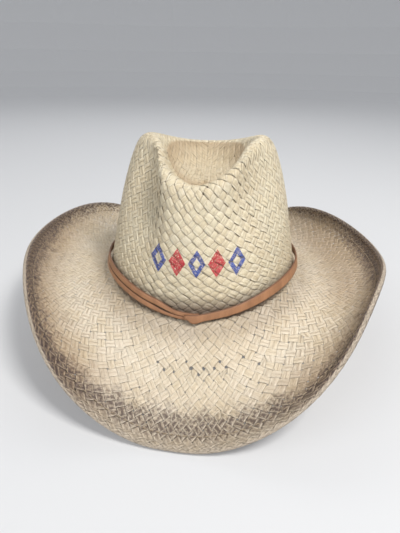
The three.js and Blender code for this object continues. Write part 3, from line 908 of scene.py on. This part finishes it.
CREAM, CREAM_BRIM = (0.76, 0.68, 0.49), (0.82, 0.73, 0.59)
WARM, GREY = (0.68, 0.56, 0.37), (0.62, 0.57, 0.46)
# The first colour here is painted shade, for where strands dip under their neighbours and for their middle
# grooves
DIP_SHADE, HUSK = (0.42, 0.32, 0.20), (0.56, 0.46, 0.31)
BOWL_TAN = (0.50, 0.38, 0.24)
# The second colour here serves the soft spray and the painted shade on the wearer's left brim
# The third colour here is the paler tone of the hem's outermost edge
SPRAY, SOFT_SPRAY_AND_SHADE, PALE_RIM_TONE = (0.085, 0.057, 0.051), (0.36, 0.24, 0.14), (0.66, 0.56, 0.44)
STRAND_MIDDLE = 2 / UV_STEPS  # where the middle of a strand's top lies across its UV
STRAND_EDGE = 1 / UV_STEPS  # how far from there its upper edges lie
FOOT_STAIN, GLINT = (0.13, 0.085, 0.06), (0.90, 0.85, 0.72)
LEATHER, LEATHER_DARK = (0.45, 0.225, 0.115), (0.33, 0.16, 0.08)
LEATHER_PALE, LEATHER_EDGE = (0.48, 0.27, 0.15), (0.13, 0.06, 0.032)
COTTON, COTTON_SHADE = (0.72, 0.68, 0.58), (0.50, 0.46, 0.37)
WEBBING, WEBBING_SHADE = (0.66, 0.62, 0.53), (0.40, 0.37, 0.30)
TAPE, TAPE_SHADE = (0.62, 0.54, 0.40), (0.42, 0.35, 0.25)
LABEL_WHITE, LABEL_SHADE = (0.80, 0.79, 0.74), (0.62, 0.61, 0.56)
THREAD, THREAD_SHADE = (0.46, 0.37, 0.26), (0.26, 0.20, 0.14)
STEEL, STEEL_SHADE = (0.46, 0.46, 0.47), (0.30, 0.30, 0.31)
PRINT_BLUE, PRINT_RED = (0.045, 0.09, 0.36), (0.55, 0.03, 0.05)
PRINT_COUNT = 5  # lozenges in the row on the crown's front; sizes in metres
PRINT_SPACING = 0.0155
PRINT_HALF = (0.0070, 0.0105)  # half the width and height of one lozenge
PRINT_HOLE = 0.45  # the size of a ring's hole, as a share of the lozenge
PRINT_Z = CROWN_FOOT_Z / 1000 + 0.037


def lozenge(g, x, z, centre, half_width, half_height):
    """1 inside a diamond on the hat's front, 0 outside."""
    dx = g.math("DIVIDE", g.math("ABSOLUTE", g.math("SUBTRACT", x, centre[0])), half_width)
    dz = g.math("DIVIDE", g.math("ABSOLUTE", g.math("SUBTRACT", z, centre[1])), half_height)
    return g.step(g.math("ADD", dx, dz), 1.0, 0.96)


def printed(g, base):
    """A plain row of lozenges on the crown's front: blue rings and solid red ones in turn."""
    x, y, z = g.node("SeparateXYZ", {0: g.coords()}).outputs
    worn = g.step(g.noise(g.coords(), 900, 3), 0.30, 0.42)
    in_front = g.times(worn, g.step(y, -0.03, -0.035))
    wide, tall = PRINT_HALF
    for i in range(PRINT_COUNT):
        at = (ORIGIN[0] + (i - (PRINT_COUNT - 1) / 2) * PRINT_SPACING, PRINT_Z)
        shape = lozenge(g, x, z, at, wide, tall)
        if i % 2 == 0:
            inner = lozenge(g, x, z, at, wide * PRINT_HOLE, tall * PRINT_HOLE)
            shape = g.math("SUBTRACT", shape, inner)
        base = g.mix(g.times(shape, in_front), base, PRINT_RED if i % 2 else PRINT_BLUE)
    return base


def straw_material(name, with_print=False):
    g = Graph(name)
    brick, level = g.value("brick"), g.value("level")
    fibre = g.noise(g.coords("UV", (0.9, 9, 1)), 3.0, 3.0, 0.55)
    ridge = g.noise(g.coords("UV", (0.5, 5.5, 1)), 1.6, 1.0, 0.5)
    cloud = g.noise(g.coords(), 24, 3.0, 0.55)
    speck = g.noise(g.coords(), 420, 3.0, 0.6)
    cream = g.mix(g.value("on_crown"), CREAM_BRIM, CREAM)
    base = g.mix(g.step(brick, 0.45, 1.0, 0, 0.4), cream, WARM)
    base = g.mix(g.step(brick, 0.25, 0.0, 0, 0.35), base, GREY)
    base = g.mix(g.step(cloud, 0.40, 0.62, 0, 0.4), base, WARM)
    rims = strand_rims(g, fibre, 0.07)
    paired = groove(g, fibre)
    base = g.mix(g.times(rims, 0.5), base, GLINT)
    if with_print:
        base = printed(g, base)
    base = g.mix(g.step(fibre, 0.52, 0.36, 0, 0.5), base, HUSK)
    # Painted shade where strands dip under their neighbours, then along the groove between paired straws
    under = g.mix_value(g.value("on_crown"), 0.36, 0.5)
    base = g.mix(g.times(g.step(level, 0.3, -0.7), under), base, DIP_SHADE)
    base = g.mix(g.times(paired, 0.42), base, DIP_SHADE)
    inside = g.math("SUBTRACT", g.value("from_foot"), g.times(g.value("ahead"), 40))
    bowl = g.times(g.step(inside, 202, 209), g.step(inside, 206, 250, 0.9, 0.3))
    base = g.mix(g.times(bowl, g.value("on_crown")), base, BOWL_TAN)
    base = sprayed(g, base, speck, fibre, rims)
    grain = g.bump(g.math("SUBTRACT", 1.0, paired), 0.6, 0.0005)
    grain = g.bump(ridge, 0.8, 0.0014, grain)
    grain = g.bump(fibre, 0.7, 0.0006, grain)
    grain = g.bump(speck, 0.2, 0.0003, grain)
    return g.finish(Base_Color=base, Roughness=g.step(fibre, 0.35, 0.65, 0.34, 0.55), Normal=grain)


def off_middle(g):
    """How far across a strand a point lies from its middle, in its UV."""
    across = g.node("SeparateXYZ", {0: g.coords("UV")}).outputs[1]
    return g.math("ABSOLUTE", g.math("SUBTRACT", across, STRAND_MIDDLE))


def strand_rims(g, fibre, wide):
    """1 along the two upper edges of a strand, broken up along its length."""
    off_edge = g.math("ABSOLUTE", g.math("SUBTRACT", off_middle(g), STRAND_EDGE))
    return g.times(g.step(off_edge, wide, wide / 4), g.step(fibre, 0.40, 0.52))


def groove(g, fibre):
    """1 along the middle of a strand, where it is a pair of straws. The crown's front has whole ones."""
    line = g.times(g.step(off_middle(g), 0.06, 0.01), g.step(fibre, 0.62, 0.5))
    plain = g.mix_value(g.value("on_crown"), 0.65, 1.0)
    whole = g.times(g.step(g.value("ahead"), 0.75, 0.93), plain)
    return g.times(line, g.math("SUBTRACT", 1.0, whole))


def soft_spray_and_shade(g, ragged, front):
    """How strong the soft brown spray is. It reaches furthest in on the wearer's left brim, where it is
    partly spray and partly painted shade on that side.
    """
    inward, ahead = g.value("inward"), g.value("ahead")
    soft = g.times(
        g.step(ragged, g.step(ahead, -0.9, -0.1, 34, 56), 8, 0, 0.8),
        g.mix_value(front, 1.0, 0.35), g.step(ahead, -0.85, 0.0, 0.25, 0.95),
    )
    wearers_left = g.step(g.node("SeparateXYZ", {0: g.coords()}).outputs[0], 0.06, 0.13)
    on_brim = g.math("SUBTRACT", 1.0, g.value("on_crown"))
    # Painted shade on the wearer's left brim, on top of the spray there
    left_brim_spray_and_shade = g.times(g.step(inward, 75, 35), on_brim, g.step(ahead, 0.75, 0.3, 0.3, 1.0))
    return g.math("MAXIMUM", soft, g.times(wearers_left, left_brim_spray_and_shade, 0.6))


def dark_spray(g, ragged, front, speck, fibre, rims):
    """How strong the dark spray near the edge is: mottled at the front, worn off the strands' rims."""
    inward, ahead = g.value("inward"), g.value("ahead")
    reach = g.mix_value(front, g.step(ahead, -0.8, 0.2, 8, 18), 29.0)
    dark = g.step(g.math("SUBTRACT", reach, ragged), -6, 14)
    inner = g.mix_value(front, 1.0, g.step(inward, 1, 11, 0.5, 1.0))
    mottle = g.times(g.step(speck, 0.48, 0.58), g.mix_value(front, 0.35, 1.0))
    worn = g.math("MAXIMUM", g.times(rims, 0.85), g.times(mottle, 0.5))
    worn = g.times(worn, g.step(g.value("level"), 0.2, 0.8))
    near_rim = g.math("MAXIMUM", g.step(inward, 9, 5, 0.0, 0.7), g.times(front, 0.65))
    hairs = g.times(strand_rims(g, fibre, 0.14), near_rim)
    kept = g.math("SUBTRACT", 1.0, g.math("MAXIMUM", worn, hairs))
    return g.times(dark, inner, g.mix_value(front, 1.0, 0.85), kept)


def pale_rim(g, fibre):
    """How much paler the hem's outermost edge is. It is pale all round, and less so at the back."""
    inward = g.value("inward")
    outermost = g.times(g.step(inward, -4.8, -6.0), g.step(inward, -10.5, -9.0))
    return g.times(
        outermost, g.step(fibre, 0.38, 0.50, 0.2, 0.9), g.step(g.value("ahead"), -0.5, 0.3, 0.35, 1.0)
    )


def sprayed(g, base, speck, fibre, rims):
    """The brown spray: soft and wide, with painted shade added on the wearer's left brim, then dark towards
    the edge, and a stain at the crown's foot.
    """
    from_foot, on_crown, ahead = g.value("from_foot"), g.value("on_crown"), g.value("ahead")
    front = g.step(ahead, 0.86, 0.985)
    ragged = g.times(g.math("SUBTRACT", speck, 0.5), 30)
    ragged = g.math("ADD", g.value("inward"), ragged)
    ragged = g.math("ADD", ragged, g.times(g.math("SUBTRACT", g.value("brick"), 0.5), 6))
    base = g.mix(soft_spray_and_shade(g, ragged, front), base, SOFT_SPRAY_AND_SHADE)
    base = g.mix(dark_spray(g, ragged, front, speck, fibre, rims), base, SPRAY)
    base = g.mix(pale_rim(g, fibre), base, PALE_RIM_TONE)
    behind_less = g.step(ahead, -0.2, 0.95, 0.35, 1.0)
    foot = g.times(g.step(from_foot, 23, 8), behind_less, g.mix_value(on_crown, 0.25, 0.92))
    base = g.mix(foot, base, FOOT_STAIN)
    tan = g.times(g.step(from_foot, 45, 5), g.math("SUBTRACT", 1.0, on_crown), 0.2)
    return g.mix(tan, base, SOFT_SPRAY_AND_SHADE)


def paint(obj, material):
    obj.data.materials.clear()
    obj.data.materials.append(material)


crown_paint = straw_material("straw_printed", with_print=True)
straw_paint = straw_material("straw")
paint(crown_straw, crown_paint)
paint(brim_straw, straw_paint)
paint(hem_straw, straw_paint)


def leather_material():
    g = Graph("leather")
    edge = g.value("edge")
    blotch = g.noise(g.coords("UV", (1, 8, 1)), 0.12, 4.0, 0.6)
    grain = g.noise(g.coords("UV", (3, 30, 1)), 1.0, 4.0, 0.6)
    crease = g.noise(g.coords("UV", (1, 1.2, 1)), 0.9, 2.0, 0.5)
    base = g.mix(g.step(blotch, 0.3, 0.7), LEATHER_DARK, LEATHER)
    base = g.mix(g.step(grain, 0.45, 0.75, 0, 0.35), base, LEATHER_PALE)
    base = g.mix(g.step(edge, 0.72, 1.0, 0, 0.75), base, LEATHER_EDGE)
    bumps = g.bump(grain, 0.35, 0.0003)
    bumps = g.bump(crease, 0.35, 0.0006, bumps)
    return g.finish(Base_Color=base, Roughness=g.step(grain, 0.2, 0.8, 0.38, 0.58), Normal=bumps)


def cloth_material(name, pale, dark, threads, ribs=1.0):
    """Woven cloth: warp and weft waves over the UV, which runs in millimetres along the piece."""
    g = Graph(name)
    along, across = g.node("SeparateXYZ", {0: g.coords("UV")}).outputs[:2]
    warp = g.math("SINE", g.times(along, threads[0]))
    weft = g.math("SINE", g.times(across, threads[1]))
    cloth = g.times(warp, weft)
    rib = g.math("ADD", g.times(warp, ribs), cloth)
    soft = g.noise(g.coords(), 90, 4.0, 0.6)
    base = g.mix(g.step(rib, -1, 1.2), dark, pale)
    base = g.mix(g.step(soft, 0.4, 0.8, 0, 0.25), base, dark)
    return g.finish(Base_Color=base, Roughness=0.9, Normal=g.bump(rib, 0.5, 0.0003))


def thread_material():
    g = Graph("thread")
    twist = g.noise(g.coords(), 1400, 2.0)
    base = g.mix(g.step(twist, 0.35, 0.65), THREAD_SHADE, THREAD)
    return g.finish(Base_Color=base, Roughness=0.8, Normal=g.bump(twist, 0.4, 0.0002))


def metal_material():
    g = Graph("spring_steel")
    drawn = g.noise(g.coords(scale=(1, 1, 6)), 500, 3.0)
    base = g.mix(g.step(drawn, 0.3, 0.7), STEEL_SHADE, STEEL)
    rough = g.step(drawn, 0.2, 0.8, 0.28, 0.5)
    return g.finish(Base_Color=base, Metallic=1.0, Roughness=rough, Normal=g.bump(drawn, 0.1, 0.0001))


leather_paint = leather_material()
cotton_paint = cloth_material("cotton", COTTON, COTTON_SHADE, (5.5, 260), 0.2)
elastic_paint = cloth_material("elastic_webbing", WEBBING, WEBBING_SHADE, (3.2, 120), 1.5)
tape_paint = cloth_material("binding_tape", TAPE, TAPE_SHADE, (4.0, 40), 1.2)
label_paint = cloth_material("label_weave", LABEL_WHITE, LABEL_SHADE, (9.0, 180), 0.4)
thread_paint = thread_material()
steel_paint = metal_material()
PAINTS = [
    (strap, leather_paint, "hatband"), (strand, leather_paint, "hatband"),
    (sweatband, cotton_paint, "sweatband"), (elastic, elastic_paint, "elastic"),
    (binding, tape_paint, "binding"), (label, label_paint, "label"),
    (hem_threads, thread_paint, "thread"), (band_threads, thread_paint, "thread"),
]
for piece, material, slot in PAINTS:
    paint(piece, material)
for node in ("brim_wire", "wire_ferrule"):
    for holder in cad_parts[node].material_slots:
        holder.material = steel_paint


# ---------------------------------------------------------------- camera, light and floor
CAMERA_FOCUS = 27.92
CAMERA = dict(away=413.3, rise=0.449, sideways=19.3, pitch=0.471, yaw=-0.059, roll=0.015)


def make_camera():
    data = bpy.data.cameras.new("camera")
    data.sensor_width, data.lens = 36.0, CAMERA_FOCUS
    data.clip_start, data.clip_end = 0.01, 20
    c = CAMERA
    yaw, pitch, roll = c["yaw"], c["pitch"], c["roll"]
    ahead = Vector((sin(yaw) * cos(pitch), cos(yaw) * cos(pitch), -sin(pitch)))
    side = ahead.cross(Vector((0, 0, 1))).normalized()
    up = side.cross(ahead)
    side, up = side * cos(roll) + up * sin(roll), up * cos(roll) - side * sin(roll)
    spot = np.array([c["sideways"], -c["away"] * cos(c["rise"]), c["away"] * sin(c["rise"])])
    obj = add_object("camera", data)
    obj.location = spot / 1000 + ORIGIN
    obj.rotation_mode = "QUATERNION"
    obj.rotation_quaternion = Matrix((side, up, -ahead)).transposed().to_quaternion()
    bpy.context.scene.camera = obj


make_camera()


def area_light(name, at, size, watts, colour=(1, 1, 1)):
    data = bpy.data.lights.new(name, "AREA")
    data.shape, data.size, data.size_y = "RECTANGLE", size[0], size[1]
    data.energy, data.color = watts, colour
    obj = add_object(name, data)
    obj.location = at
    obj.rotation_mode = "QUATERNION"
    obj.rotation_quaternion = (-Vector(at)).to_track_quat("-Z", "Y")


area_light("key", (0.62, -0.50, 1.28), (0.42, 0.42), 19.0, (1.0, 0.975, 0.95))
area_light("fill", (-1.0, -0.9, 1.0), (1.2, 1.2), 7.5, (1.0, 0.98, 0.96))
area_light("back", (-0.2, 1.2, 1.2), (1.2, 0.6), 4.5)


def make_floor():
    """A pale floor that curves up into a wall all round."""
    flat, bend, sides = 2.5, 1.5, 48
    profile = [(0.02, 0.0), (flat, 0.0)]
    profile += [(flat + bend * sin(t), bend - bend * cos(t)) for t in np.linspace(0.2, PI / 2, 8)]
    profile.append((flat + bend, 6.0))
    turns = [2 * PI * i / sides for i in range(sides)]
    points = [(r * cos(t), r * sin(t), z - 0.0005) for r, z in profile for t in turns]
    quads = []
    for row in range(len(profile) - 1):
        for i in range(sides):
            j = (i + 1) % sides
            quads.append((row * sides + i, row * sides + j, (row + 1) * sides + j, (row + 1) * sides + i))
    quads.append(tuple(range(sides)))
    mesh = bpy.data.meshes.new("floor")
    mesh.from_pydata(points, [], quads)
    obj = add_object("floor", mesh)
    g = Graph("pale_floor")
    glow = dict(Emission_Color=(0.95, 0.96, 1.0, 1), Emission_Strength=0.16)
    mesh.materials.append(g.finish(Base_Color=(0.55, 0.56, 0.57, 1), Roughness=0.85, **glow))


def make_sky():
    """Weak, even light from all round."""
    world = bpy.data.worlds.new("studio")
    world.use_nodes = True
    sky = world.node_tree.nodes["Background"]
    sky.inputs["Color"].default_value = (0.95, 0.97, 1, 1)
    sky.inputs["Strength"].default_value = 0.22
    bpy.context.scene.world = world


make_floor()
make_sky()
bpy.context.scene.view_settings.view_transform = "Standard"
